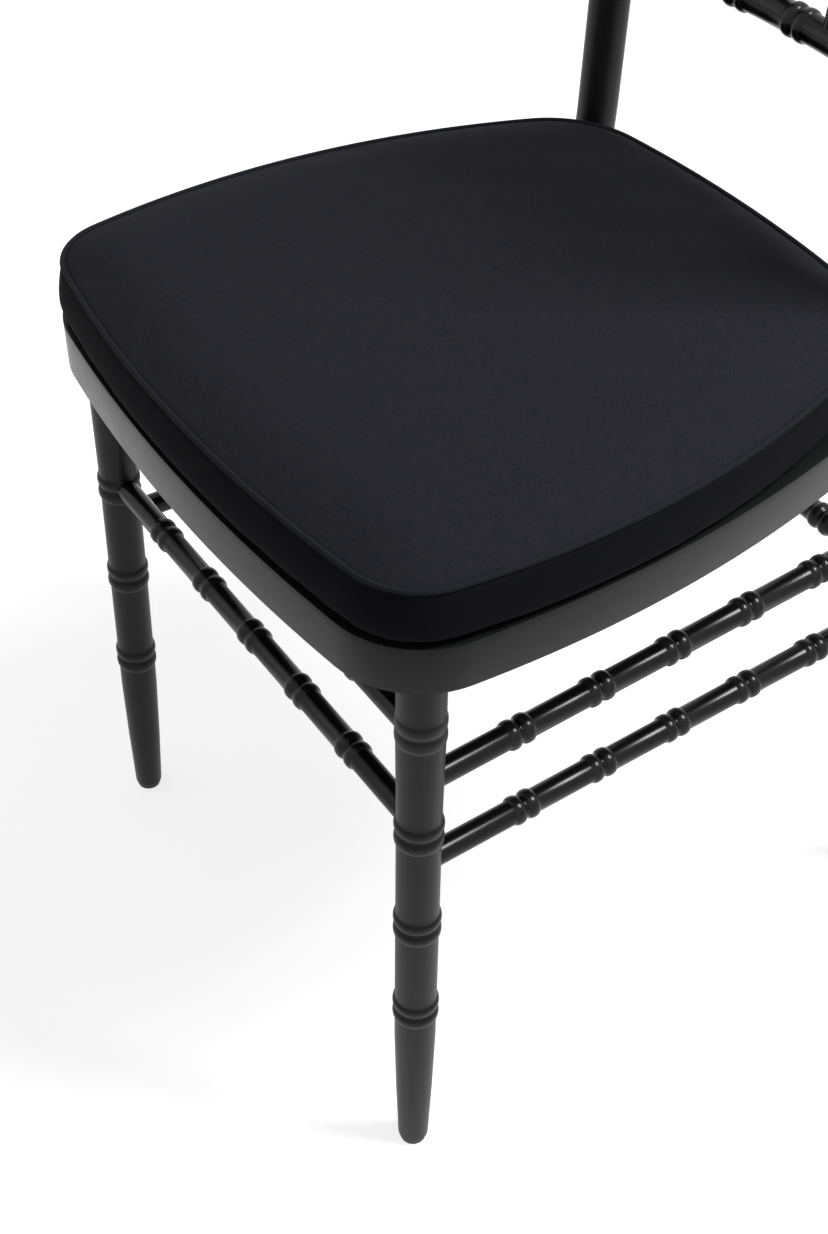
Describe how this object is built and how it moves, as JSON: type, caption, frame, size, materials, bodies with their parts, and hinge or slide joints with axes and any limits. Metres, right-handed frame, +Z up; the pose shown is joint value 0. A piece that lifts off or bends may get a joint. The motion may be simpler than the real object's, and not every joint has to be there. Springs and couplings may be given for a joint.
{
  "type": "side chair",
  "caption": "Black banquet side chair with turned double-ring legs and stretchers, bowed seat frame, spindle back and a loose boxed cushion that lifts off.",
  "frame": {"origin": "centre of the chair's footprint box, on the floor", "axes": "+Z up, -Y towards the front edge of the seat, +X towards the sitter's left"},
  "size_m": [0.3992, 0.4905, 0.9153],
  "materials": {
    "black_lacquer": "black lacquer on hardwood",
    "block_wood": "sawn hardwood, sprayed black",
    "panel_ply": "plywood, sprayed black",
    "board_ply": "bare plywood inside the cushion",
    "cushion_fabric": "fine woven polyester, navy black",
    "welt_fabric": "piping in the same fabric",
    "foam": "polyurethane foam",
    "glide_plastic": "moulded glide",
    "fastener_steel": "zinc plated",
    "insert_brass": "turned brass",
    "tape": "hook and loop tape"
  },
  "bodies": {
    "chair": {"back_post_left": "black_lacquer", "back_post_right": "black_lacquer", "back_rail_crest": "black_lacquer", "back_rail_lower": "black_lacquer", "back_rail_middle": "black_lacquer", "back_spindle_1": "black_lacquer", "back_spindle_2": "black_lacquer", "back_spindle_3": "black_lacquer", "back_spindle_4": "black_lacquer", "back_spindle_5": "black_lacquer", "back_spindle_6": "black_lacquer", "corner_block_front_left": "block_wood", "corner_block_front_right": "block_wood", "corner_block_rear_left": "block_wood", "corner_block_rear_right": "block_wood", "foot_glides": "glide_plastic", "front_leg_bolts": "fastener_steel", "front_leg_left": "black_lacquer", "front_leg_right": "black_lacquer", "front_stretcher_lower": "black_lacquer", "front_stretcher_upper": "black_lacquer", "panel_hook_strips": "tape", "post_inserts": "insert_brass", "rear_post_bolts": "fastener_steel", "rear_stretcher_lower": "black_lacquer", "rear_stretcher_upper": "black_lacquer", "seat_panel": "panel_ply", "seat_rail_front": "black_lacquer", "seat_rail_left": "black_lacquer", "seat_rail_rear": "black_lacquer", "seat_rail_right": "black_lacquer", "side_stretcher_lower_left": "black_lacquer", "side_stretcher_lower_right": "black_lacquer", "side_stretcher_upper_left": "black_lacquer", "side_stretcher_upper_right": "black_lacquer"},
    "cushion": {"cushion_board": "board_ply", "cushion_cover": "cushion_fabric", "cushion_foam": "foam", "cushion_loop_strips": "tape", "cushion_welt": "welt_fabric"}
  },
  "joints": [
    {"name": "cushion_lift", "type": "slide", "parent": "chair", "child": "cushion", "axis": [0, 0, 1], "range_m": [0, 0.15]}
  ]
}
